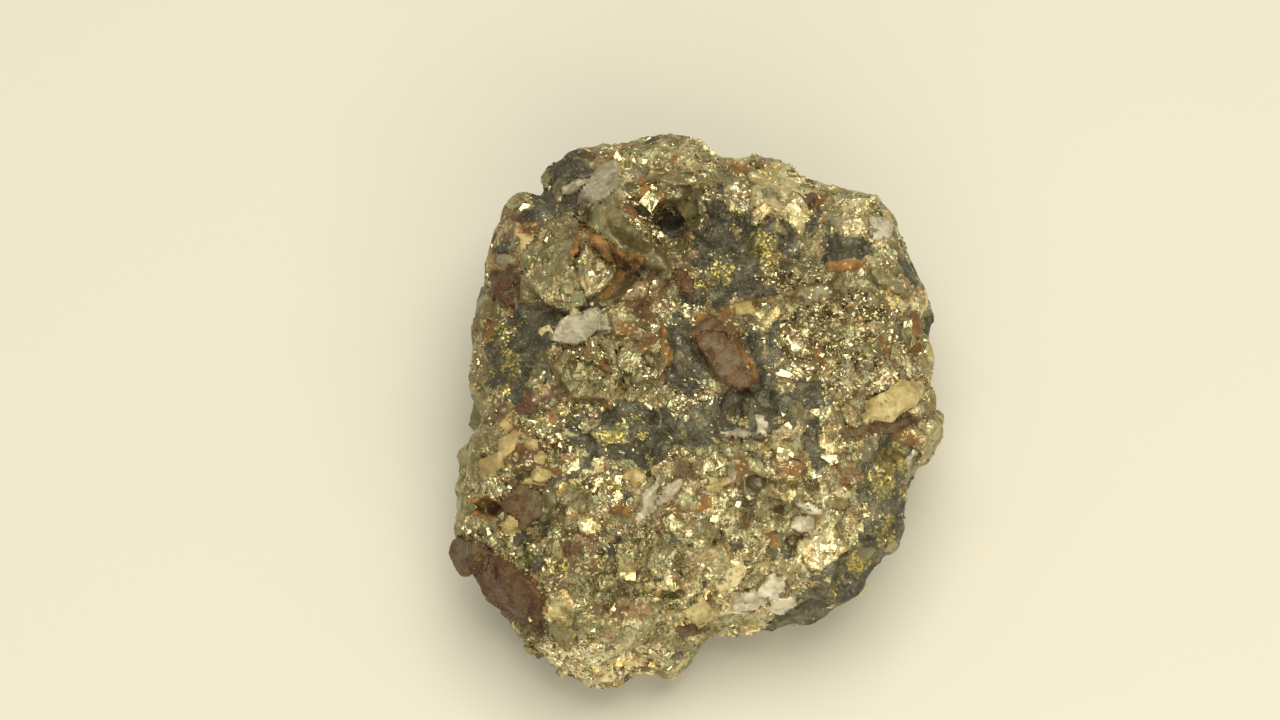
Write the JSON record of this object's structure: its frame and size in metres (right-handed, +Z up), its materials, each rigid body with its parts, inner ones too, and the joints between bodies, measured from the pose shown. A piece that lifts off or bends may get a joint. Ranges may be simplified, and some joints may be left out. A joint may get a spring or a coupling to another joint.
{
  "type": "pyrite ore specimen",
  "caption": "Hand-sized lump of broken sulphide ore with brassy pyrite, dark veins and red and pale clasts, lying on a small flat spot.",
  "frame": {"origin": "middle of the lump's outline, on the surface it lies on", "axes": "+Z up through the broken face, +Y along the lump towards the end with the dark cavity"},
  "size_m": [0.0498, 0.0564, 0.0274],
  "materials": {
    "ore": "rough broken mineral with bright metallic grains"
  },
  "bodies": {
    "root": {"ore_lump": "ore"}
  },
  "joints": []
}
